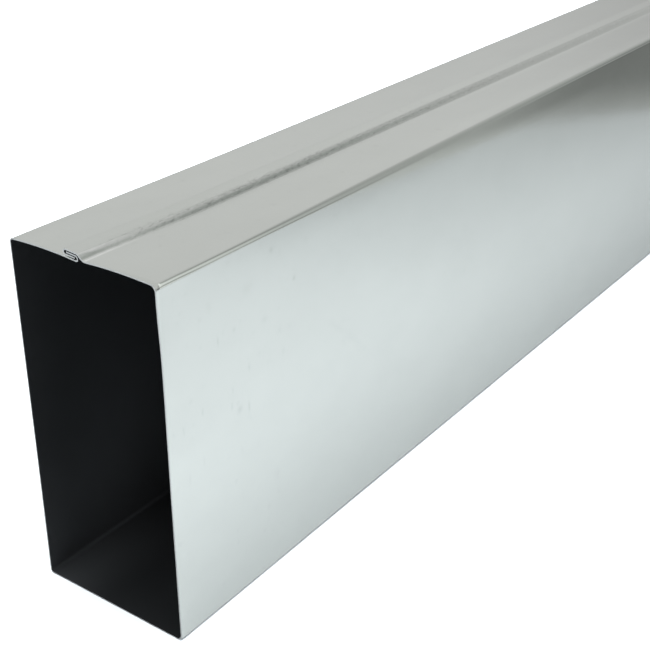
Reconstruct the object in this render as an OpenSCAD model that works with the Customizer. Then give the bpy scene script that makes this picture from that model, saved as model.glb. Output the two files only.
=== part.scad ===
// Rectangular air duct: one length of stock, folded from one galvanised sheet
// and closed along its upper narrow wall by a grooved lock seam.
// Millimetres. X runs across the duct, Y along it, Z up. The origin is the
// middle of the wall that the duct stands on.

/* [Duct] */
// Outer width, across the two narrow walls
duct_width = 80; // [60:1:300]
// Outer height of the two tall walls, without the seam that stands on top
duct_height = 165; // [60:1:400]
// Length of one piece of stock
duct_length = 1500; // [200:10:3000]

/* [Sheet] */
// Thickness of the galvanised sheet
sheet_thickness = 0.6; // [0.4:0.05:1]
// Inner radius of the four corner bends
corner_radius = 2.4; // [1:0.1:6]

/* [Lock seam] */
// Distance from the duct's centre line to the foot of the joggle
seam_offset = 1.5; // [-10:0.5:15]
// Width of the stack of four layers, measured over its two hooks
lock_width = 8.2; // [6:0.1:14]
// Air gap between neighbouring layers of the stack
layer_gap = 0.45; // [0.15:0.05:0.8]
// Room between the free edge of each hook and the bend that it reaches into
hook_setback = 1.2; // [0.4:0.1:2]
// Lean of the stack, down towards the joggle
lock_lean = 5; // [0:0.5:8]
// Slope of the joggle that lifts one side of the wall over the hooks
joggle_slope = 39; // [30:1:70]
// Inner radius of the two bends of the joggle
joggle_radius = 0.6; // [0.2:0.1:1.5]
// Inner radius of the shallow bend where the stack starts to lean
lean_radius = 3; // [1:0.5:10]

/* [Hidden] */

// Turn from one facet of a bend to the next, give or take a part of it
facet_angle = 10;
// Points nearer to each other than this count as one
same_place = 0.0001;

half_sheet = sheet_thickness / 2;
layer_pitch = sheet_thickness + layer_gap;
// The middle of the sheet follows these radii
corner_bend = corner_radius + half_sheet;
joggle_bend = joggle_radius + half_sheet;
lean_bend = lean_radius + half_sheet;
// Each hook turns back over one layer, so its bend spans two pitches
hook_bend = layer_pitch;

// The middle of the sheet runs this far from the duct's axis and floor
wall_x = duct_width / 2 - half_sheet;
floor_z = half_sheet;
roof_z = duct_height - half_sheet;

// Places in the stack: u runs across it from the outside of the left hook,
// and layers are counted up from the wall at 0.
left_hook_u = half_sheet;
right_hook_u = lock_width - half_sheet;
lower_free_edge_u = lock_width - sheet_thickness - hook_setback;
upper_free_edge_u = sheet_thickness + hook_setback;
// The joggle wraps the right hook at the same gap as the top layer does
joggle_u = right_hook_u - hook_bend
    + 2 * layer_pitch * tan((joggle_slope - lock_lean) / 2);

// A place in the leaning stack, seen from its left end at the wall's middle
function stack_place(u, layer) =
    [u * cos(lock_lean) + layer * layer_pitch * sin(lock_lean),
     layer * layer_pitch * cos(lock_lean) - u * sin(lock_lean)];

joggle_top = stack_place(joggle_u, 3);
stack_x = seam_offset - joggle_top[0] - joggle_top[1] / tan(joggle_slope);

// A corner of the route inside the stack, as [x, z, bend radius]
function stack_corner(u, layer, bend) =
    [stack_x + stack_place(u, layer)[0], roof_z + stack_place(u, layer)[1], bend];

// Route of the middle of the sheet, once round the duct: from the free edge
// of the left wall's hook, round the four corners, to the other hook's edge.
sheet_route = [
    stack_corner(upper_free_edge_u, 2, 0),
    stack_corner(right_hook_u, 2, hook_bend),
    stack_corner(right_hook_u, 0, hook_bend),
    stack_corner(0, 0, lean_bend),
    [-wall_x, roof_z, corner_bend],
    [-wall_x, floor_z, corner_bend],
    [wall_x, floor_z, corner_bend],
    [wall_x, roof_z, corner_bend],
    [seam_offset, roof_z, joggle_bend],
    stack_corner(joggle_u, 3, joggle_bend),
    stack_corner(left_hook_u, 3, hook_bend),
    stack_corner(left_hook_u, 1, hook_bend),
    stack_corner(lower_free_edge_u, 1, 0)
];

// Direction of travel from one corner to the next, in degrees
function heading(from, to) = atan2(to[1] - from[1], to[0] - from[0]);
// Turn between two headings, brought between -180 and 180 degrees
function turn(before, after) = (after - before + 540) % 360 - 180;
// Point at a distance along a heading
function step(place, angle, distance) =
    [place[0] + distance * cos(angle), place[1] + distance * sin(angle)];

// One face of the sheet at corner i of a route. side is +1 on the left of
// the travel and -1 on the right. Ends give one point, and a bend gives the
// points of an arc about the bend's centre.
function face_at(route, i, side) =
    i == 0 ? [step(route[0], heading(route[0], route[1]) + 90, side * half_sheet)]
    : i == len(route) - 1
        ? [step(route[i], heading(route[i - 1], route[i]) + 90, side * half_sheet)]
    : bend_face(route[i], heading(route[i - 1], route[i]),
        turn(heading(route[i - 1], route[i]), heading(route[i], route[i + 1])), side);

// The arc starts where the bend touches the incoming straight, and its
// centre lies on the inner side of the turn.
function bend_face(corner, incoming, angle, side) =
    let (
        inner_side = angle > 0 ? 1 : -1,
        bend = corner[2],
        start = step(corner, incoming, -bend * tan(abs(angle) / 2)),
        centre = step(start, incoming + 90, inner_side * bend),
        radius = bend - inner_side * side * half_sheet,
        facets = max(1, round(abs(angle) / facet_angle))
    )
    [for (k = [0:facets])
        step(centre, incoming + angle * k / facets - 90, inner_side * radius)];

// One whole face of the sheet. The two bends of a hook meet halfway round
// it, and the point where they meet is kept once.
function sheet_face(route, side) =
    let (points = [for (i = [0:len(route) - 1]) each face_at(route, i, side)])
    [for (i = [0:len(points) - 1])
        if (i == 0 || norm(points[i] - points[i - 1]) > same_place) points[i]];

function backwards(points) = [for (i = [len(points) - 1:-1:0]) points[i]];

// Outline of the sheet: out along one face and back along the other
function sheet_outline(route) =
    concat(sheet_face(route, -1), backwards(sheet_face(route, 1)));

// The folded sheet, its section carried along the whole length
module folded_duct_sheet() {
    color("lightgray")
        rotate([90, 0, 0])
            linear_extrude(height = duct_length, center = true)
                polygon(sheet_outline(sheet_route));
}

folded_duct_sheet();
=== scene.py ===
# %% [markdown]
# # A length of rectangular air duct
#
# The object is one sheet of galvanised steel, folded round four corners and
# hooked into itself along a lock seam. Nearly all that can be seen of it is
# bare metal, so the picture is made by three things: a clean shape, a finish
# with the right gloss, and a studio that gives the metal something to mirror.
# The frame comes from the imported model, and every length below is in metres.

# %% Load the frame
import math

import bpy
import numpy as np
from mathutils import Matrix, Vector


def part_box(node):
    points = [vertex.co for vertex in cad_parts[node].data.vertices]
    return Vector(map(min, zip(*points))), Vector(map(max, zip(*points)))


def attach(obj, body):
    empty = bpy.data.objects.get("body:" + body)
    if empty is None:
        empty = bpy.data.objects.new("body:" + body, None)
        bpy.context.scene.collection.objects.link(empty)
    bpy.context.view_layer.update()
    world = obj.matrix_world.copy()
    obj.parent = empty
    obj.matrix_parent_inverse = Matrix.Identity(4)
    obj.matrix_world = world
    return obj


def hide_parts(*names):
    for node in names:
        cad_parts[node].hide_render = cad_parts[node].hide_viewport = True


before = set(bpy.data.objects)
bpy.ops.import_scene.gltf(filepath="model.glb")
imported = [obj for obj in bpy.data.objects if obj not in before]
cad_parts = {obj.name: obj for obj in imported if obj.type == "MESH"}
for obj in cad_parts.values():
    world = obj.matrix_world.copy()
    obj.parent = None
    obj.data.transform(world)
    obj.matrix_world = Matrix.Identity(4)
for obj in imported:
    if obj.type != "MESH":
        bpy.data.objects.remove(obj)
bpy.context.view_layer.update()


low, high = (np.array(corner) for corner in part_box("folded_duct_sheet"))
print("the packed duct measures", np.round(high - low, 4), "m")

# %% [markdown]
# ## The sizes of the folded sheet
#
# A sheet-metal worker would write these on the job card. Width and length are
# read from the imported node. The height of the walls is the node's height less
# the seam that stands on top, so the small sizes of the seam come first. They
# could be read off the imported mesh, but its bends are flat facets, and named
# sizes let the bends be drawn again as smooth as rolled metal.

# %% Sizes of the sheet and its seam
MM = 0.001
WIDTH = high[0] - low[0]
LENGTH = high[1] - low[1]
SHEET = 0.6 * MM
CORNER_RADIUS = 2.4 * MM
SEAM_OFFSET = 1.5 * MM
LOCK_WIDTH = 8.2 * MM
LAYER_GAP = 0.45 * MM
HOOK_SETBACK = 1.2 * MM
LOCK_LEAN = math.radians(5)
JOGGLE_SLOPE = math.radians(39)
JOGGLE_RADIUS = 0.6 * MM
LEAN_RADIUS = 3 * MM
HALF_SHEET = SHEET / 2
PITCH = SHEET + LAYER_GAP
print("one layer of the lock with its gap:", round(PITCH / MM, 2), "mm")

# %% Places in the lock seam


def in_stack(u, layer):
    """A place in the leaning stack of layers, from its left end at the wall.

    u runs along the layers and layer counts upwards. Both are turned
    together by the lean, down to the right.
    """
    rise = layer * PITCH
    return np.array([
        u * math.cos(LOCK_LEAN) + rise * math.sin(LOCK_LEAN),
        rise * math.cos(LOCK_LEAN) - u * math.sin(LOCK_LEAN),
    ])


left_hook = HALF_SHEET
right_hook = LOCK_WIDTH - HALF_SHEET
joggle_u = right_hook - PITCH + 2 * PITCH * math.tan((JOGGLE_SLOPE - LOCK_LEAN) / 2)
joggle_top = in_stack(joggle_u, 3)
# The highest point is on the left hook, half a turn of radius PITCH and half
# the sheet's thickness above the middle of the second layer.
hook_centre = in_stack(left_hook + PITCH, 2)
ROOF = high[2] - (hook_centre[1] + PITCH + HALF_SHEET)
HEIGHT = ROOF + HALF_SHEET
stack_origin = np.array([
    SEAM_OFFSET - joggle_top[0] - joggle_top[1] / math.tan(JOGGLE_SLOPE),
    ROOF,
])
print("height of the tall walls:", round(HEIGHT / MM, 2), "mm")

# %% [markdown]
# ## The route of the sheet
#
# Seen from the mouth, the middle of the sheet is one line that starts inside
# the left wall's hook, runs round the duct and ends inside the other hook. It
# is given as corners with a bend radius, the way a bending drawing gives it.
# A curve object with a bevel could follow the same line, but then the two
# faces and the sheared edges of the sheet could not each get a finish of
# their own. So the line is worked out here as arrays of points and normals.

# %% Corners of the route


def stack_corner(u, layer, bend):
    """A corner inside the stack, as x, z and bend radius."""
    x, z = stack_origin + in_stack(u, layer)
    return (x, z, bend)


WALL_X = WIDTH / 2 - HALF_SHEET
FLOOR_Z = low[2] + HALF_SHEET
CORNER_BEND = CORNER_RADIUS + HALF_SHEET
JOGGLE_BEND = JOGGLE_RADIUS + HALF_SHEET

route = np.array([
    stack_corner(SHEET + HOOK_SETBACK, 2, 0),
    stack_corner(right_hook, 2, PITCH),
    stack_corner(right_hook, 0, PITCH),
    stack_corner(0, 0, LEAN_RADIUS + HALF_SHEET),
    (-WALL_X, ROOF, CORNER_BEND),
    (-WALL_X, FLOOR_Z, CORNER_BEND),
    (WALL_X, FLOOR_Z, CORNER_BEND),
    (WALL_X, ROOF, CORNER_BEND),
    (SEAM_OFFSET, ROOF, JOGGLE_BEND),
    stack_corner(joggle_u, 3, JOGGLE_BEND),
    stack_corner(left_hook, 3, PITCH),
    stack_corner(left_hook, 1, PITCH),
    stack_corner(LOCK_WIDTH - SHEET - HOOK_SETBACK, 1, 0),
])
print("the route has", len(route) - 2, "bends")

# %% Round the corners


def unit(vectors):
    """Each vector divided by its own length."""
    return vectors / np.linalg.norm(vectors, axis=-1, keepdims=True)


def left_of(vectors):
    """Each vector turned a quarter turn to the left: (x, z) becomes (-z, x)."""
    return np.stack([-vectors[..., 1], vectors[..., 0]], axis=-1)


def rounded(corner, before, after, facet=math.radians(7.5)):
    """Points and left normals of the arc that rounds one corner.

    The arc starts radius * tan(turn / 2) ahead of the corner. Its points are
    the centre plus the radius times a normal that turns evenly from square
    to the incoming run to square to the outgoing one.
    """
    place, bend = corner[:2], corner[2]
    turn = math.atan2(before[0] * after[1] - before[1] * after[0], before @ after)
    start = place - before * bend * math.tan(abs(turn) / 2)
    side = left_of(before)
    centre = start + side * bend * math.copysign(1, turn)
    angles = turn * np.linspace(0, 1, max(2, round(abs(turn) / facet) + 1))
    normals = (np.cos(angles)[:, None] * side + np.sin(angles)[:, None] * left_of(side))
    return centre - normals * bend * math.copysign(1, turn), normals


def straight(start, end, spacing=6 * MM, at_least=8):
    """Points and left normals of the run between two arcs, ends left out.

    The share of the way at point i of n is (1 - cos(pi * i / n)) / 2, so the
    points are close together beside the bends and wide apart between them.
    """
    span = end - start
    count = at_least + round(float(np.linalg.norm(span)) / spacing)
    shares = 0.5 - 0.5 * np.cos(math.pi * np.arange(1, count) / count)[:, None]
    points = start + shares * span
    return points, np.broadcast_to(left_of(unit(span)), points.shape)


def section_line(route, touching=1e-7):
    """The whole middle line as points and unit normals on its left side.

    It is the arcs in turn, with the straight runs between them. Where two
    arcs touch, their shared point is kept once and there is no run.
    """
    runs = unit(np.diff(route[:, :2], axis=0))
    arcs = [rounded(route[i], runs[i - 1], runs[i]) for i in range(1, len(route) - 1)]
    arcs += [(route[-1:, :2], left_of(runs[-1:]))]
    points, normals = [route[:1, :2]], [left_of(runs[:1])]
    for arc_points, arc_normals in arcs:
        if np.linalg.norm(points[-1][-1] - arc_points[0]) < touching:
            points += [arc_points[1:]]
            normals += [arc_normals[1:]]
        else:
            run_points, run_normals = straight(points[-1][-1], arc_points[0])
            points += [run_points, arc_points]
            normals += [run_normals, arc_normals]
    return np.concatenate(points), np.concatenate(normals)


line, line_normals = section_line(route)
print("the section's middle line has", len(line), "points")
developed = float(np.linalg.norm(np.diff(line, axis=0), axis=1).sum())
print("the sheet is", round(developed / MM, 1), "mm wide before it is folded")

# %% [markdown]
# ## Carrying the section along the duct
#
# The section is carried from mouth to mouth as one grid: rows are stations
# along the length, columns are places round the sheet. A Curve modifier on a
# straight extrusion would do that too, but then every station is the same,
# and a real duct isn't: its walls draw in a little between the bends, its
# seam is pressed tighter along the run than at the ends, and each mouth
# springs open a little where it was sheared. So each station gets its own
# copy of the middle line, moved by a few small formulas.

# %% Stations along the length
STATION_COUNT = 121


def stations(count):
    """Places along the duct, closer together near both mouths.

    Each is minus half the length times the cosine of an evenly turned angle.
    """
    return -LENGTH / 2 * np.cos(np.linspace(0, math.pi, count)) + (low[1] + high[1]) / 2


y = stations(STATION_COUNT)[:, None]
from_mouth = np.minimum(y - low[1], high[1] - y)
x, z = line[None, :, 0], line[None, :, 1]
print(len(y), "stations,", round(float(from_mouth[1, 0]) / MM, 2), "mm apart at the mouths")

# %% Curves that the small formulas share
# What lies less than this below the roof's middle line belongs to the roof.
ROOF_DEPTH = 2 * MM


def swell(value, start, end):
    """A half wave: 0 at start and end, 1 halfway, and 0 outside them."""
    return np.sin(math.pi * np.clip((value - start) / (end - start), 0, 1))


def bell(value, centre, width):
    """1 at the centre and 0 far from it: exp(-((value - centre) / width)^2)."""
    return np.exp(-(((value - centre) / width) ** 2))


def near(distance, reach):
    """1 at no distance, falling evenly to 0 at the given reach."""
    return np.clip(1 - distance / reach, 0, 1)


def fading(length, power=2):
    """1 at a mouth and 0 far inside: exp(-(distance / length)^power)."""
    return np.exp(-((from_mouth / length) ** power))


def settled(length, power=2):
    """0 at a mouth and 1 far inside: 1 less what fading gives."""
    return 1 - fading(length, power)


def soft_lower(one, other, rounding):
    """The lower of two heights, with a rounded change where they cross.

    It takes (rounding - gap)^2 / (4 * rounding) off the lower height where
    the gap between the two is less than rounding.
    """
    overlap = np.maximum(rounding - np.abs(one - other), 0)
    return np.minimum(one, other) - overlap ** 2 / (4 * rounding)


midway = swell(y, low[1], high[1])
at_roof = z > ROOF - ROOF_DEPTH
print(int(at_roof.sum()), "of", len(line), "places round the sheet lie in the roof")

# %% [markdown]
# ## The pressed seam
#
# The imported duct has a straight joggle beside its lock. On the real one the
# seaming roller rounds the joggle's shoulder and its foot, more in the middle
# of the run than at the ends. Behind the mouth it leaves the joggle steeper
# and the lock a seventh flatter, and the lid falls a little towards the
# shoulder. A lattice could bend the seam so, but a roller's work is a
# profile: a ramp and a lid, joined by a rounded change from one to the other.
# Every layer at the same x moves by the same amount, so none cuts another.
#
# The whole lock also steps aside by two millimetres behind the mouth, and
# drifts on from there until it is seven aside in the middle of the duct.

# %% Press the seam
# How far behind the mouth the roller takes its first grip, and its full one.
GRIP_REACH = (12 * MM, 83 * MM)
GRIP_SLOPE = (math.radians(7), math.radians(15))
# The bend at the mouth, then what the first grip and the midway add to it.
SHOULDER_BEND = (0.6 * MM, 2.5 * MM, 2.1 * MM)
# The bend at the mouth, then what the midway adds to it.
FOOT_BEND = (0.85 * MM, 5.0 * MM)
LID_LEAN = math.radians(8)
LID_REACH = 4 * MM
SQUASH = 0.14

first_grip, full_grip = settled(GRIP_REACH[0]), settled(GRIP_REACH[1])
slope = np.tan(JOGGLE_SLOPE + GRIP_SLOPE[0] * first_grip + GRIP_SLOPE[1] * full_grip)
foot_bend = FOOT_BEND[0] + FOOT_BEND[1] * midway ** 1.5
ramp = -soft_lower((x - SEAM_OFFSET) * slope, 0 * x, foot_bend)
shoulder_bend = SHOULDER_BEND[0] + SHOULDER_BEND[1] * first_grip + SHOULDER_BEND[2] * midway
rise = joggle_top[1]
joggle_left = SEAM_OFFSET - rise / math.tan(JOGGLE_SLOPE)
lid = rise - np.clip(x - joggle_left, 0, LID_REACH) * math.tan(LID_LEAN)
pressed = soft_lower(ramp, lid, shoulder_bend)
straight_joggle = np.clip((SEAM_OFFSET - x) * math.tan(JOGGLE_SLOPE), 0, rise)
lifted = z - ROOF + pressed - straight_joggle
press = SQUASH * first_grip * np.clip((x - stack_origin[0]) / LOCK_WIDTH, 0, 1)
seam_z = at_roof * (lifted - press * np.maximum(lifted, 0) - (z - ROOF))
print("the ramp is at most", round(math.degrees(math.atan(slope.max())), 1), "degrees steep")

# %% Lead the seam aside
SIDESTEP, SIDESTEP_REACH = 1.9 * MM, 45 * MM
DRIFT, DRIFT_REACH = 0.75 * MM, 190 * MM
WANDER = 4.6 * MM
# The middle of the roof goes all the way with the seam, and its bends don't.
ROOF_FOLLOWS = 1.25

drift = SIDESTEP * settled(SIDESTEP_REACH, 3) + DRIFT * settled(DRIFT_REACH) + WANDER * midway
bend_start = WALL_X - CORNER_BEND
seam_x = at_roof * drift * np.clip(ROOF_FOLLOWS * swell(x, -bend_start, bend_start), 0, 1)
print("the seam lies at most", round(float(drift.max()) / MM, 2), "mm aside")

# %% [markdown]
# ## Traces along the seam
#
# Three faint traces follow the seam: painted shade along the joggle's foot,
# painted glints at its shoulder and foot near the mouth, and the speckled band
# that the roller leaves on the shoulder. They could be placed by coordinates
# in the finish, but the seam wanders along the duct. So their strengths are
# worked out on the grid of the shape, and go with the metal as attributes.

# %% Painted shade, painted glints and the roller's band
FOOT_SHADE_WIDTH, FOOT_SHADE_ONSET, FOOT_SHADE_REACH, FOOT_SHADE_LEFT = 2.3 * MM, 73 * MM, 270 * MM, 0.1
# The middle and the width of each strip across the seam.
# The shoulder and foot strips carry painted glints, and the band strip carries the roller's
# speckle.
SHOULDER_STRIP = (-0.8 * MM, 0.8 * MM)
FOOT_STRIP = (2.1 * MM, 0.6 * MM)
BAND_STRIP = (-0.3 * MM, 1.9 * MM)
GLINT_REACH, GLINT_LEFT = 22 * MM, 0.15
BAND_ONSET, BAND_REACH, BAND_LEFT = 14 * MM, 260 * MM, 0.25

# Painted shade along the joggle's foot: none at a mouth, strongest some way in, and a tenth of
# that in the middle of the duct.
painted_foot_shade = at_roof * bell(x, SEAM_OFFSET, FOOT_SHADE_WIDTH) * settled(FOOT_SHADE_ONSET) \
    * (FOOT_SHADE_LEFT + (1 - FOOT_SHADE_LEFT) * fading(FOOT_SHADE_REACH, 4))
by_shoulder, by_foot = bell(x, *SHOULDER_STRIP), bell(x, *FOOT_STRIP)
# Painted glints: bright strips at the shoulder and the foot near the mouth, and a faint one
# along the whole shoulder.
painted_glints = at_roof * (fading(GLINT_REACH) * (by_shoulder + by_foot) + GLINT_LEFT * by_shoulder)
band = at_roof * bell(x, *BAND_STRIP) * settled(BAND_ONSET) \
    * (BAND_LEFT + (1 - BAND_LEFT) * fading(BAND_REACH))
traces = {"seam_foot_shade": painted_foot_shade, "seam_glint": painted_glints, "seam_band": band}
print("traces:", {name: round(float(amount.max()), 2) for name, amount in traces.items()})

# %% [markdown]
# ## Walls and mouths
#
# A tall wall draws in by up to a quarter of a millimetre between its bends.
# The depth follows a mean of three sines, so it is the same every time. At a
# mouth the roof is crowned by half a millimetre to either side of the seam.
# At the near mouth the right wall is knocked in below its top, and the corner
# above is dented at the very edge, as happens to a duct that is set down
# hard. A sculpting brush could do all this, but a formula can be read again.

# %% Draw in the walls, crown the roof and dent the corner
WALL_DEPTH = 0.25 * MM
# Three wavelengths, and the phase that sets them apart.
LEFT_WAVES = ((0.53, 0.41, 0.19), 2.3)
RIGHT_WAVES = ((0.61, 0.37, 0.23), 1.1)
CROWN, CROWN_REACH = 0.5 * MM, 45 * MM
KNOCK, KNOCK_HEIGHT, KNOCK_REACH = 0.25 * MM, 26 * MM, 18 * MM
# How far the dent goes sideways and down, and how far it spreads.
DENT = (1.1 * MM, 0.45 * MM)
DENT_DOWN, DENT_ACROSS = 45 * MM, 30 * MM
EDGE_REACH = 0.6 * MM


def slow_wave(y, lengths, phase):
    """The mean of sines of the given wavelengths, brought between 0 and 1."""
    waves = [np.sin(2 * math.pi * y / span + phase * (i + 1)) for i, span in enumerate(lengths)]
    return 0.5 + 0.5 * np.mean(waves, axis=0)


on_right = np.clip((x - WALL_X + 2 * SHEET) / SHEET, 0, 1)
on_left = np.clip((-x - WALL_X + 2 * SHEET) / SHEET, 0, 1)
wall_x = swell(z, FLOOR_Z, ROOF) * WALL_DEPTH * (
    on_left * slow_wave(y, *LEFT_WAVES) - on_right * slow_wave(y, *RIGHT_WAVES))
crowned = swell(x, -WALL_X, stack_origin[0]) + swell(x, SEAM_OFFSET, WALL_X)
crown_z = CROWN * crowned * (z > ROOF - SHEET) * fading(CROWN_REACH)
knock_x = -KNOCK * (x > WALL_X - CORNER_BEND) * swell(z, ROOF - KNOCK_HEIGHT, ROOF) \
    * bell(y, low[1], KNOCK_REACH)
at_dent = (x > 0) * bell(y, low[1], EDGE_REACH)
down_wall, across_roof = near(ROOF - z, DENT_DOWN), near(WALL_X - x, DENT_ACROSS)
dent_x = -DENT[0] * at_dent * down_wall ** 1.5 * across_roof ** 2
dent_z = -DENT[1] * at_dent * across_roof ** 1.5 * down_wall
print("the walls draw in by up to", round(float(np.abs(wall_x).max()) / MM, 2), "mm")

# %% [markdown]
# ## Bends that change along the duct
#
# Away from its mouths the duct is held in shape: the walls are tucked in
# beside the roof, and the roof is tucked down beside the right wall. The
# bends change too. All of them are a little tighter than the job card says,
# most of all in the first ten centimetres, except that the upper left one
# springs looser behind the mouth. At the sheared edge itself the right bends
# ease and the left ones close up. A Bevel modifier has one width for a whole
# edge, so the points of each bend are pushed along its own diagonal instead.

# %% Tuck the walls and the roof in
WALL_TUCK, WALL_TUCK_REACH = 0.69 * MM, 13.3 * MM
LEFT_TUCK_SHARE = 0.7
ROOF_TUCK, ROOF_TUCK_REACH = 0.55 * MM, 11.7 * MM
TUCK_ONSET = 111 * MM

tucked = settled(TUCK_ONSET)
tuck_x = -WALL_TUCK * tucked * near(ROOF - z, WALL_TUCK_REACH) ** 2 * (x / WALL_X) ** 3 \
    * np.where(x > 0, 1, LEFT_TUCK_SHARE)
tuck_z = -ROOF_TUCK * tucked * near(WALL_X - x, ROOF_TUCK_REACH) ** 2 * (z / ROOF) ** 3
print("the walls are tucked in by up to", round(float(np.abs(tuck_x).max()) / MM, 2), "mm")

# %% Tighten and loosen the bends
# What every bend gets, and what it gets besides in the first stretch.
TIGHTER = (0.35 * MM, 0.6 * MM)
TIGHTER_REACH = 95 * MM
# How much the right bends ease at the sheared edge, and the left ones.
MOUTH_EASE = (1.0 * MM, -0.35 * MM)
LOOSER, LOOSER_ONSET = 1.3 * MM, 60 * MM
# The upper right bend is tightest between these two distances from a mouth.
TIGHTEST, TIGHTEST_ENDS = 0.2 * MM, (33 * MM, 110 * MM)
CORNER_REACH = 14 * MM

is_upper = z > HEIGHT / 2
tighter = TIGHTER[0] + TIGHTER[1] * fading(TIGHTER_REACH, 4) \
    - np.where(x > 0, *MOUTH_EASE) * fading(EDGE_REACH)
looser = LOOSER * settled(LOOSER_ONSET) * (x < 0) * is_upper
tightest = (x > 0) * is_upper * fading(TIGHTEST_ENDS[1], 4) * settled(TIGHTEST_ENDS[0], 4)
to_level = np.minimum(ROOF - z, z - FLOOR_Z)
at_corner = near(WALL_X - np.abs(x) - CORNER_BEND, CORNER_REACH) \
    * near(to_level - CORNER_BEND, CORNER_REACH)
outward = (tighter - looser + TIGHTEST * tightest) * at_corner
tight_x = outward * (1 - np.abs(line_normals[:, 0])) * np.sign(x)
tight_z = outward * (1 - np.abs(line_normals[:, 1])) * np.sign(z - HEIGHT / 2)
print("the bends are pushed out by up to", round(float(outward.max()) / MM, 2), "mm")

# %% Move the section
moved = np.stack([x + seam_x + wall_x + knock_x + dent_x + tuck_x + tight_x,
                  z + seam_z + crown_z + dent_z + tuck_z + tight_z], axis=-1)
furthest = float(np.abs(moved - line).max())
print("the sheet moves at most", round(furthest / MM, 2), "mm from its section")

# %% [markdown]
# ## One mesh for the sheet
#
# The sheet has two long faces, half a thickness to either side of the middle
# line, two free edges inside the hooks and a sheared edge round each mouth.
# Solidify could thicken a single face, but building the two faces outright
# keeps every face's finish known: the outside is bare zinc, the inside is
# dark, and the edges are cut metal.

# %% The two long faces
normals = left_of(unit(np.gradient(moved, axis=1)))


def face_grid(side):
    """The vertices of one long face: the middle line plus side half thicknesses.

    side is +1 or -1, and the step goes along the line's own normals.
    """
    section = moved + side * HALF_SHEET * normals
    lengthwise = np.broadcast_to(y, section.shape[:2])
    return np.stack([section[..., 0], lengthwise, section[..., 1]], axis=-1)


inner, outer = face_grid(+1), face_grid(-1)
rows, columns = inner.shape[:2]
print("each long face is a grid of", rows, "by", columns, "vertices")

# %% Faces from vertex numbers


def quads(rows, columns, first=0):
    """Vertex numbers of the cells of a grid stored row by row."""
    row, column = np.meshgrid(np.arange(rows - 1), np.arange(columns - 1), indexing="ij")
    a = first + row * columns + column
    return np.stack([a, a + 1, a + columns + 1, a + columns], axis=-1).reshape(-1, 4)


def strip(one, other):
    """Cells between two rows of vertex numbers of the same length."""
    return np.stack([one[:-1], one[1:], other[1:], other[:-1]], axis=-1)


def mesh_from(name, vertices, faces, kinds):
    """A mesh of four-sided faces, with a material number for each face."""
    mesh = bpy.data.meshes.new(name)
    mesh.vertices.add(len(vertices))
    mesh.vertices.foreach_set("co", vertices.astype(np.float32).ravel())
    mesh.loops.add(faces.size)
    mesh.loops.foreach_set("vertex_index", faces.astype(np.int32).ravel())
    mesh.polygons.add(len(faces))
    mesh.polygons.foreach_set("loop_start", np.arange(0, faces.size, 4, dtype=np.int32))
    mesh.polygons.foreach_set("material_index", kinds.astype(np.int32))
    mesh.update(calc_edges=True)
    mesh.validate()
    return mesh


# %% Build the sheet
OUTSIDE, INSIDE, CUT = 0, 1, 2
per_face = rows * columns
number = np.arange(per_face).reshape(rows, columns)
inner_faces = quads(rows, columns)
outer_faces = quads(rows, columns, per_face)[:, ::-1]
near_mouth = strip(number[0], number[0] + per_face)[:, ::-1]
far_mouth = strip(number[-1], number[-1] + per_face)
start_edge = strip(number[:, 0], number[:, 0] + per_face)
end_edge = strip(number[:, -1], number[:, -1] + per_face)[:, ::-1]
cut_faces = np.concatenate([near_mouth, far_mouth, start_edge, end_edge])
faces = np.concatenate([outer_faces, inner_faces, cut_faces])
kinds = np.repeat([OUTSIDE, INSIDE, CUT], [len(outer_faces), len(inner_faces), len(cut_faces)])
vertices = np.concatenate([inner.reshape(-1, 3), outer.reshape(-1, 3)])
sheet_mesh = mesh_from("folded_sheet", vertices, faces, kinds)
for trace_name, amount in traces.items():
    trace = sheet_mesh.attributes.new(trace_name, "FLOAT", "POINT")
    trace.data.foreach_set("value", np.tile(amount.astype(np.float32).ravel(), 2))
folded_sheet = bpy.data.objects.new("folded_sheet", sheet_mesh)
bpy.context.scene.collection.objects.link(folded_sheet)
print("folded_sheet:", len(vertices), "vertices and", len(faces), "faces")

# %% [markdown]
# ## Smooth bends, crisp cuts
#
# All faces are shaded smooth, and the edges where a long face meets a sheared
# one are marked sharp, so that light runs evenly round a bend and breaks at a
# cut. An angle limit could find those edges, but it might also catch a tight
# hook. Here an edge counts as sheared when both its ends lie on a mouth or on
# a free edge of the sheet.

# %% Mark the sheared edges
on_cut = np.zeros((rows, columns), dtype=bool)
on_cut[[0, -1], :] = True
on_cut[:, [0, -1]] = True
on_cut = np.tile(on_cut.ravel(), 2)
edge_ends = np.empty(len(sheet_mesh.edges) * 2, dtype=np.int32)
sheet_mesh.edges.foreach_get("vertices", edge_ends)
sheared = on_cut[edge_ends.reshape(-1, 2)].all(axis=1)
sheet_mesh.polygons.foreach_set("use_smooth", np.ones(len(sheet_mesh.polygons), dtype=bool))
sheet_mesh.edges.foreach_set("use_edge_sharp", sheared)
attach(folded_sheet, "root")
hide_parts("folded_duct_sheet")
print(int(sheared.sum()), "sheared edges marked")

# %% [markdown]
# ## Shader maths as plain arithmetic
#
# A finish is a sum of small effects: a mottle, a grain, a few marks. Wiring
# them by hand takes a dozen lines for every formula. The class below wraps
# the output of a node, so that a + b or 1 - a adds the Math node it needs.
# Every other kind of node comes from its one method.

# %% A wire between shader nodes


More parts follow.
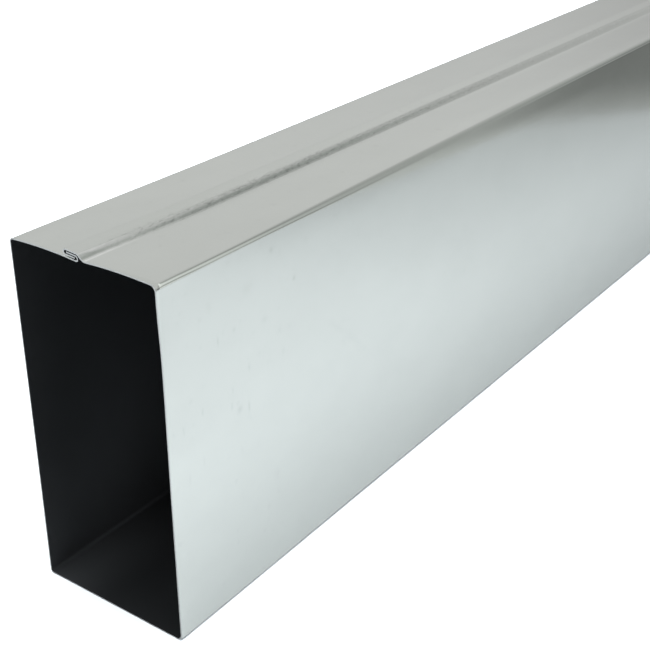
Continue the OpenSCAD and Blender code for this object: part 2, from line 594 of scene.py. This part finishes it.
class Wire:
    """The output of one shader node, which can be used in a formula."""

    def __init__(self, tree, socket=None):
        self.tree = tree
        self.socket = socket

    def node(self, kind, settings=None, inputs=None, output=0):
        """Adds a node: its settings first, then a value or a wire for each input."""
        node = self.tree.nodes.new("ShaderNode" + kind)
        for name, value in (settings or {}).items():
            setattr(node, name, value)
        for name, value in (inputs or {}).items():
            if isinstance(value, Wire):
                self.tree.links.new(value.socket, node.inputs[name])
            else:
                node.inputs[name].default_value = value
        return Wire(self.tree, node.outputs[output] if node.outputs else None)

    def maths(self, operation, *values):
        """One Math node on the given values or wires."""
        return self.node("Math", {"operation": operation}, dict(enumerate(values)))

    def __add__(self, other):
        return self.maths("ADD", self, other)

    def __sub__(self, other):
        return self.maths("SUBTRACT", self, other)

    def __rsub__(self, other):
        return self.maths("SUBTRACT", other, self)

    def __mul__(self, other):
        return self.maths("MULTIPLY", self, other)

    def __truediv__(self, other):
        return self.maths("DIVIDE", self, other)

    def __abs__(self):
        return self.maths("ABSOLUTE", self)

    __radd__ = __add__
    __rmul__ = __mul__


# %% Helpers that every finish shares
# Blender numbers the sockets of a node from 0. These are the outputs and
# inputs that the finishes and the room take by number.
DIRECTION, OBJECT_PLACE = 0, 3
ATTRIBUTE_VALUE = 2
SHARE, FIRST_COLOUR, SECOND_COLOUR, BLENDED_COLOUR = 0, 6, 7, 2
DOT_VALUE = 1
CAMERA_RAY, GLOSSY_RAY = 0, 3


def blank(owner):
    """An empty node tree for a material or the world, as the start of a wire."""
    owner.use_nodes = True
    owner.node_tree.nodes.clear()
    return Wire(owner.node_tree)


def step_between(wire, start, end):
    """A smooth step: 0 up to start, 1 from end on, and an S curve between."""
    return wire.node("MapRange", {"interpolation_type": "SMOOTHSTEP"},
                     {"Value": wire, "From Min": start, "From Max": end})


def fade_between(wire, start, end):
    """The same step downwards: 1 up to start and 0 from end on."""
    return 1 - step_between(wire, start, end)


def hump(wire, centre, width):
    """A bell shape: exp(-((value - centre) / width)^2)."""
    offset = (wire - centre) / width
    return wire.maths("EXPONENT", 0 - offset * offset)


def blend_colours(share, first, second):
    """The first colour where share is 0, the second where it is 1."""
    return share.node("Mix", {"data_type": "RGBA"},
                      {SHARE: share, FIRST_COLOUR: first, SECOND_COLOUR: second},
                      output=BLENDED_COLOUR)


def place_on(start):
    """The place being shaded, in metres on the object."""
    return start.node("TexCoord", output=OBJECT_PLACE)


def axes_of(vector):
    """The x, y and z of a vector, as three wires."""
    parts = vector.node("SeparateXYZ", None, {"Vector": vector})
    return [Wire(vector.tree, socket) for socket in parts.socket.node.outputs]


def stretched_noise(place, along, across, detail):
    """Noise whose patches are along by across metres, between 0 and 1."""
    scaled = place.node("Mapping", {"vector_type": "POINT"},
                        {"Vector": place, "Scale": (1 / across, 1 / along, 1 / across)})
    return scaled.node("TexNoise", {"noise_dimensions": "3D"},
                       {"Vector": scaled, "Scale": 1.0, "Detail": detail, "Roughness": 0.55})


# %% [markdown]
# ## Bright zinc
#
# The outside is hot-dip galvanised sheet with the small, almost invisible
# spangle of modern coil. It is a metal with a soft but fairly high gloss.
# Four things keep it from looking like a flat grey: a faint cloudy mottle in
# tone and gloss, a fine grain along the rolling direction, a scatter of dark
# specks, and the marks of handling and of the seaming roller. Besides these,
# painted shade darkens the joggle's foot and painted glints brighten its
# shoulder and foot near the mouth. Noise stretched along the duct makes the
# grain, because the rolls leave their lines that way round. More noise could
# scatter the marks of handling too, but hands and straps touch a duct near
# its mouth, so each mark is a soft oval at a place of its own.

# %% Marks of handling
# Millimetres from the near mouth, height, half length and half width, then
# the lean in degrees and how much light the mark takes away.
HANDLING_MARKS = (
    (66.5, 156.0, 1.4, 1.2, 0, 0.12),
    (81.5, 138.0, 1.1, 1.0, 0, 0.14),
    (31.5, 129.0, 1.9, 0.5, 4, 0.11),
    (41.5, 130.0, 1.1, 1.0, 0, 0.09),
    (20.5, 102.0, 1.5, 0.5, 0, 0.11),
    (39.5, 103.0, 1.8, 0.5, -8, 0.07),
    (38.5, 96.0, 1.8, 0.6, -8, 0.08),
    (43.5, 92.5, 1.5, 1.6, 20, 0.12),
    (49.5, 91.0, 2.6, 0.5, 3, 0.13),
    (50.5, 109.0, 1.6, 0.5, 0, 0.08),
    (73.5, 107.0, 1.7, 0.6, 0, 0.08),
    (44.0, 72.0, 2.2, 0.8, 10, 0.05),
    (9.0, 99.0, 2.2, 0.5, 5, 0.07),
    (11.0, 75.0, 2.6, 0.6, -4, 0.06),
    (20.0, 79.0, 2.0, 0.5, 0, 0.06),
    (61.0, 127.0, 1.4, 1.6, 0, 0.07),
    (71.0, 118.0, 1.4, 1.6, 0, 0.05),
    (50.5, 144.5, 2.6, 3.0, 0, 0.05),
    (27.0, 146.0, 2.6, 1.2, 10, 0.04),
    (67.0, 48.0, 3.4, 1.8, 15, 0.04),
    (112.0, 103.0, 8.0, 1.4, 48, 0.03),
    (128.0, 89.0, 10.0, 1.6, 46, 0.035),
)
# Far more than the wall draws in, and far less than the duct is wide.
MARK_DEPTH = 0.02


def wall_marks(place):
    """Soft ovals: exp of minus the squared distance, in each oval's own half sizes."""
    ovals = []
    for from_mouth_mm, height_mm, tall, wide, lean, strength in HANDLING_MARKS:
        middle = (WIDTH / 2, low[1] + from_mouth_mm * MM, height_mm * MM)
        local = place.node("Mapping", {"vector_type": "TEXTURE"}, {
            "Vector": place, "Location": middle, "Rotation": (math.radians(lean), 0, 0),
            "Scale": (MARK_DEPTH, wide * MM, tall * MM)})
        squared = local.node("VectorMath", {"operation": "DOT_PRODUCT"},
                             {0: local, 1: local}, output=DOT_VALUE)
        ovals.append(strength * squared.maths("EXPONENT", 0 - squared))
    return sum(ovals)


print(len(HANDLING_MARKS), "marks of handling")

# %% The zinc coat
DULL_ZINC = (0.555, 0.578, 0.549, 1)
BRIGHT_ZINC = (0.595, 0.618, 0.588, 1)
# A bright tone for painted glints near the mouth and for the roller's bright flecks.
GLINT_AND_FLECK_ZINC = (0.80, 0.815, 0.795, 1)
# A dark tone for real marks, flecks and specks, and for the painted shade at the joggle's foot.
SOIL_AND_SHADE = (0.05, 0.05, 0.048, 1)
# Sizes of the patches along and across the duct, and their finer detail.
MOTTLE = (0.028, 0.016, 3.0)
GRAIN = (0.3, 0.0006, 2.0)
SPECKS = (0.0036, 0.0036, 0.0)
DARK_FLECKS = (0.003, 0.0009, 1.0)
BRIGHT_FLECKS = (0.005, 0.0012, 1.0)
# Where each noise starts to count, and where it counts fully.
SPECK_STEP = (0.70, 0.86)
DARK_STEP = (0.5, 0.75)
BRIGHT_STEP = (0.52, 0.75)


def zinc_coat():
    """Galvanised steel as rolled: mottled, faintly grained, lightly marked.

    The tone goes from dull to bright with the mottle, then towards a dark tone
    by a sum of painted shade at the joggle's foot, flecks, marks and specks,
    then towards a bright tone by painted glints near the mouth and bright flecks.
    sum of traces, flecks, marks and specks, then towards rubbed zinc.
    """
    material = bpy.data.materials.new("zinc_coat")
    start = blank(material)
    place = place_on(start)
    foot_shade_share, glint_share, roller = [
        start.node("Attribute", {"attribute_name": trace_name}, output=ATTRIBUTE_VALUE)
        for trace_name in ("seam_foot_shade", "seam_glint", "seam_band")]
    mottle = stretched_noise(place, *MOTTLE)
    grain = stretched_noise(place, *GRAIN)
    specks = step_between(stretched_noise(place, *SPECKS), *SPECK_STEP)
    dark = stretched_noise(place, *DARK_FLECKS)
    bright = stretched_noise(place, *BRIGHT_FLECKS)
    dark_flecks = roller * step_between(dark, *DARK_STEP)
    bright_flecks = roller * step_between(bright, *BRIGHT_STEP)
    # Towards the dark tone: painted shade at the joggle's foot, with real flecks, marks of
    # handling and specks.
    shade_and_marks = foot_shade_share * (0.02 + 0.2 * dark) + 0.28 * dark_flecks + wall_marks(place) + 0.04 * specks
    # Towards the bright tone: painted glints near the mouth, with the roller's bright flecks.
    glints_and_flecks = glint_share * (0.45 + 0.8 * bright) + 0.4 * bright_flecks
    tone = blend_colours(mottle, DULL_ZINC, BRIGHT_ZINC)
    tone = blend_colours(shade_and_marks, tone, SOIL_AND_SHADE)
    tone = blend_colours(glints_and_flecks, tone, GLINT_AND_FLECK_ZINC)
    bump = start.node("Bump", None, {"Height": grain, "Strength": 0.02, "Distance": 0.0002})
    surface = start.node("BsdfPrincipled", None, {
        "Base Color": tone, "Roughness": 0.115 + 0.03 * mottle + 0.02 * grain,
        "Metallic": 1.0, "Normal": bump})
    start.node("OutputMaterial", None, {"Surface": surface})
    return material


# %% [markdown]
# ## The dark inside and the bare cut
#
# The inner side is coloured a near-black satin: painted shade for the dark
# inside of the duct. It is paler away from the mouths and low on the left
# wall, and a painted reflection lies as a pale patch in the lower left corner
# of the near mouth. The sheared edge is bare steel that was cut half way and
# torn the rest, so it glints in some places and stays dull in others. Images
# could be drawn for both, but what changes here is only how far in, how low
# or how fine a place is, and numbers can say that.

# %% The painted shade inside
# Painted shade: the inside is coloured near-black for the dark inside of the duct, with a paler
# tone for painted light.
INSIDE_SHADE_BLACK = (0.0095, 0.0105, 0.0115, 1)
INSIDE_SHADE_PALE = (0.05, 0.054, 0.058, 1)
INSIDE_CLOUDS = (0.05, 0.02, 2.0)


def painted_inside_shade():
    """Near-black satin as painted shade, blended to a paler tone by a sum of shares.

    The shares are the depth from a mouth, a painted reflection in the lower left
    corner, the clouds and a paler band low on the left wall, less a little on the duct's own
    floor.
    """
    material = bpy.data.materials.new("painted_inside_shade")
    start = blank(material)
    place = place_on(start)
    x, y, z = axes_of(place)
    cloud = stretched_noise(place, *INSIDE_CLOUDS)
    depth = high[1] - abs(y)
    # Painted reflection: a pale patch low in the left corner by the near mouth.
    corner_reflection = hump(z, 0.0, 0.045) * hump(y - low[1], 0.0, 0.06) * fade_between(x, -0.035, 0.0)
    on_left_wall = fade_between(x, -0.0392, -0.037)
    # Painted light: paler low on the left wall, from a little way in.
    left_wall_light = on_left_wall * fade_between(z, 0.03, 0.14) * step_between(depth, 0.01, 0.06)
    on_floor = fade_between(z, 0.001, 0.003)
    # Paler further from the mouths, with the painted reflection, the clouds and the left wall's
    # band, and a little darker on the floor.
    paler_share = step_between(depth, 0.0, 0.22) + 0.35 * corner_reflection + 0.08 * cloud \
        + 0.5 * left_wall_light - 0.05 * on_floor
    surface = start.node("BsdfPrincipled", None, {
        "Base Color": blend_colours(paler_share, INSIDE_SHADE_BLACK, INSIDE_SHADE_PALE),
        "Roughness": 0.46 + 0.08 * cloud, "Specular IOR Level": 0.3})
    start.node("OutputMaterial", None, {"Surface": surface})
    return material


# %% The sheared edge
CUT_DULL = (0.24, 0.245, 0.24, 1)
CUT_BRIGHT = (0.50, 0.51, 0.50, 1)
TEARS = (0.0008, 0.0008, 2.0)


def sheared_steel():
    """Bare metal where the sheet was cut: tone and gloss both follow the tears."""
    material = bpy.data.materials.new("sheared_steel")
    start = blank(material)
    tear = stretched_noise(place_on(start), *TEARS)
    surface = start.node("BsdfPrincipled", None, {
        "Base Color": blend_colours(tear, CUT_DULL, CUT_BRIGHT),
        "Roughness": 0.3 + 0.15 * tear, "Metallic": 1.0})
    start.node("OutputMaterial", None, {"Surface": surface})
    return material


# %% Put the finishes on
for finish in (zinc_coat(), painted_inside_shade(), sheared_steel()):
    sheet_mesh.materials.append(finish)
    print("finish:", finish.name, "with", len(finish.node_tree.nodes), "nodes")

# %% [markdown]
# ## The studio
#
# Metal shows its surroundings, so the studio is designed by direction. The
# floor is plain and white, a soft round light hangs over it, and the room
# above is pale. Two more props are seen by reflections only. A graduated
# filter lies on the floor and darkens what the metal mirrors of it, the more
# so the further it lies to the right, as if a white table ended there. Beside
# the duct, along that table's edge, stands a graduated card. It is bright at
# its near end, and its soft dark patches become the dark lines that the bends
# show beside bright ones.
#
# A panorama picture could light the metal too, but props can be placed and
# shaded to the centimetre. The card would cut through the duct if it went on,
# so it ends short of it, and fades out there and at its top. The room behind
# the card is dimmed, for reflections only, so that the fading doesn't show.

# %% The floor
FLOOR_REACH = 8.0
FLOOR_WHITE = (0.857, 0.90, 0.945, 1)


def flat_prop(name, points, paint):
    """One face through four points, which are given as two rows of two."""
    mesh = bpy.data.meshes.new(name)
    mesh.from_pydata(points, [], [(0, 1, 3, 2)])
    mesh.materials.append(paint)
    prop = bpy.data.objects.new(name, mesh)
    bpy.context.scene.collection.objects.link(prop)
    print(name, "from", np.round(points[0], 3).tolist(), "to", np.round(points[-1], 3).tolist())
    return prop


def floor_square(height):
    """The corners of a square that reaches FLOOR_REACH each way, at one height."""
    reach = (-FLOOR_REACH, FLOOR_REACH)
    return [(across, along, height) for along in reach for across in reach]


def white_floor():
    """A matt white paint without any gloss."""
    material = bpy.data.materials.new("white_floor")
    start = blank(material)
    surface = start.node("BsdfPrincipled", None, {
        "Base Color": FLOOR_WHITE, "Roughness": 0.9, "Specular IOR Level": 0.0})
    start.node("OutputMaterial", None, {"Surface": surface})
    return material


floor = flat_prop("floor", floor_square(0), white_floor())

# %% The light over the floor
overhead_data = bpy.data.lights.new("overhead", "AREA")
overhead_data.shape = "DISK"
overhead_data.size = 2.6
overhead_data.energy = 125
overhead = bpy.data.objects.new("overhead", overhead_data)
overhead.location = (0.1, -0.4, 2.2)
overhead.visible_glossy = False
bpy.context.scene.collection.objects.link(overhead)
print("overhead:", round(overhead_data.energy), "W,", round(overhead_data.size, 2), "m across")

# %% The graduated filter
TABLE_EDGE_TURN = math.radians(33.6)
EDGE_COS, EDGE_SIN = math.cos(TABLE_EDGE_TURN), math.sin(TABLE_EDGE_TURN)
FILTER_HEIGHT = 0.0002
FILTER_CLEAR = (0.64, 0.64, 0.64, 1)
FILTER_DARK = (0.32, 0.32, 0.315, 1)
FILTER_START, FILTER_WIDTH = -0.40, 0.57


def across_edge(x, y):
    """How far a place lies across the table's edge: x cos(turn) + y sin(turn)."""
    return x * EDGE_COS + y * EDGE_SIN


def along_edge(x, y):
    """How far a place lies along the table's edge: y cos(turn) - x sin(turn)."""
    return y * EDGE_COS - x * EDGE_SIN


def graduated_filter():
    """A clear film that darkens evenly across the table's edge.

    Its share of dark is (across - start) / width, a tenth less by the mouth.
    """
    material = bpy.data.materials.new("graduated_filter")
    start = blank(material)
    x, y, _ = axes_of(place_on(start))
    across = across_edge(x, y)
    by_mouth = hump(across, -0.06, 0.1) * fade_between(along_edge(x, y), -0.5, -0.3)
    falling = (across - FILTER_START) / FILTER_WIDTH - 0.1 * by_mouth
    surface = start.node("BsdfTransparent", None, {
        "Color": blend_colours(falling, FILTER_CLEAR, FILTER_DARK)})
    start.node("OutputMaterial", None, {"Surface": surface})
    return material


filter_sheet = flat_prop("reflection_filter", floor_square(FILTER_HEIGHT), graduated_filter())

# %% The graduated card
CARD_ASIDE = 0.200
CARD_ENDS = (-1.2, 0.18)
CARD_HEIGHTS = (0.001, 2.6)
CARD_TINT = (0.97, 1.0, 0.98, 1)
# Soft dark patches: how dark, then height and half height, then the place
# along the card and the half length.
CARD_PATCHES = (
    (0.28, 0.994, 0.377, -0.161, 0.379),
    (0.17, 0.74, 0.15, -0.22, 0.1),
    (0.3, 0.17, 0.09, -0.455, 0.055),
    (0.22, 0.27, 0.05, -0.385, 0.06),
)


def card_point(along, height):
    """A point of the card: aside and along the table's edge, turned back to x and y."""
    return (CARD_ASIDE * EDGE_COS - along * EDGE_SIN,
            CARD_ASIDE * EDGE_SIN + along * EDGE_COS, height)


def shaded_card():
    """A card that glows, as a sum: a rise with height, a bright end and a bright foot.

    From that sum go a dark low corner, a dark skyline along the near end, a
    shade low at the back and the soft patches. It clears at its far end and
    its top.
    """
    material = bpy.data.materials.new("shaded_card")
    start = blank(material)
    x, y, z = axes_of(place_on(start))
    along = along_edge(x, y)
    rising = 0.526 + 0.175 * step_between(z, 0.27, 0.91)
    bright_end = 0.59 * fade_between(along - 0.191 * z, -0.641, -0.332)
    foot_height = z * (1 + 0.8 * step_between(along, -0.4, -0.2))
    foot_glow = 0.2 * fade_between(foot_height, 0.0, 0.07) * step_between(along, -0.9, -0.6)
    low_corner = 0.28 * step_between(along, -0.276, -0.091) * fade_between(z, 0.01, 0.52)
    skyline = 0.62 * hump(z, 0.262, 0.102) * fade_between(along, -0.536, -0.287)
    back_shade = 0.16 * hump(z, 0.20, 0.08) * step_between(along, -0.25, -0.12)
    patches = sum(strength * hump(z, height, tall) * hump(along, middle, wide)
                  for strength, height, tall, middle, wide in CARD_PATCHES)
    lit = rising + bright_end + foot_glow - low_corner - skyline - back_shade - patches
    glow = start.node("Emission", None, {"Color": CARD_TINT, "Strength": lit})
    clear = start.node("BsdfTransparent")
    solid = fade_between(along, 0.05, 0.17) * fade_between(z, 2.0, 2.6)
    surface = start.node("MixShader", None, {0: solid, 1: clear, 2: glow})
    start.node("OutputMaterial", None, {"Surface": surface})
    return material


card_points = [card_point(along, height) for height in CARD_HEIGHTS for along in CARD_ENDS]
card = flat_prop("graduated_card", card_points, shaded_card())
for prop in (filter_sheet, card):
    for kind_of_ray in ("visible_camera", "visible_diffuse", "visible_shadow",
                        "visible_transmission", "visible_volume_scatter"):
        setattr(prop, kind_of_ray, False)

# %% The room above the floor
ROOM_LIGHT, ROOM_LIFT = 0.612, 0.194
LIFT_START, LIFT_END = math.radians(9.9), math.radians(19.6)
WHITE = (1, 1, 1, 1)


def pale_room():
    """A pale room, brighter higher up, and dimmed behind the card in reflections.

    The light from a direction is the base plus the lift, less the dimming
    across the table's edge. What the camera sees of the room is plain white.
    """
    world = bpy.data.worlds.new("room")
    start = blank(world)
    x, y, z = axes_of(start.node("TexCoord", output=DIRECTION))
    is_seen = start.node("LightPath", output=CAMERA_RAY)
    is_mirrored = start.node("LightPath", output=GLOSSY_RAY)
    lift = step_between(z, math.sin(LIFT_START), math.sin(LIFT_END))
    behind_card = step_between(across_edge(x, y), 0.08, 0.40)
    dimmed = 0.2 * fade_between(z, 0.7, 0.95) + 0.236 * fade_between(z, 0.0, 0.24)
    strength = ROOM_LIGHT + ROOM_LIFT * lift - behind_card * is_mirrored * dimmed
    seen = start.node("Background", None, {"Color": WHITE, "Strength": 1.0})
    lighting = start.node("Background", None, {"Color": WHITE, "Strength": strength})
    sky = start.node("MixShader", None, {0: is_seen, 1: lighting, 2: seen})
    start.node("OutputWorld", None, {"Surface": sky})
    return world


bpy.context.scene.world = pale_room()
print("the room's sky has", len(bpy.context.scene.world.node_tree.nodes), "nodes")

# %% [markdown]
# ## The camera
#
# The camera stands a little above the duct and to its right, close enough
# for the far end to run out of the frame. It could be turned until the mouth
# lies where it belongs in the picture, but that would also change how the
# duct's lines run together. A small shift of the lens only moves the picture.

# %% Place the camera
CAMERA_PLACE = Vector((0.3201, -1.0374, 0.3472))
CAMERA_TURN = math.radians(37.31)
CAMERA_DIP = math.radians(26.11)
CAMERA_ROLL = math.radians(0.86)
camera_data = bpy.data.cameras.new("camera")
camera_data.sensor_width = 36
camera_data.lens = 67.10
camera_data.shift_x = 0.0497
camera_data.shift_y = -0.0136
camera_data.clip_start = 0.01
camera = bpy.data.objects.new("camera", camera_data)
camera.matrix_world = (Matrix.Translation(CAMERA_PLACE)
                       @ Matrix.Rotation(CAMERA_TURN, 4, "Z")
                       @ Matrix.Rotation(math.pi / 2 - CAMERA_DIP, 4, "X")
                       @ Matrix.Rotation(-CAMERA_ROLL, 4, "Z"))
bpy.context.scene.collection.objects.link(camera)
bpy.context.scene.camera = camera
bpy.context.scene.view_settings.view_transform = "Standard"
print("camera: a", round(camera_data.lens, 1), "mm lens at", np.round(CAMERA_PLACE, 2), "m")
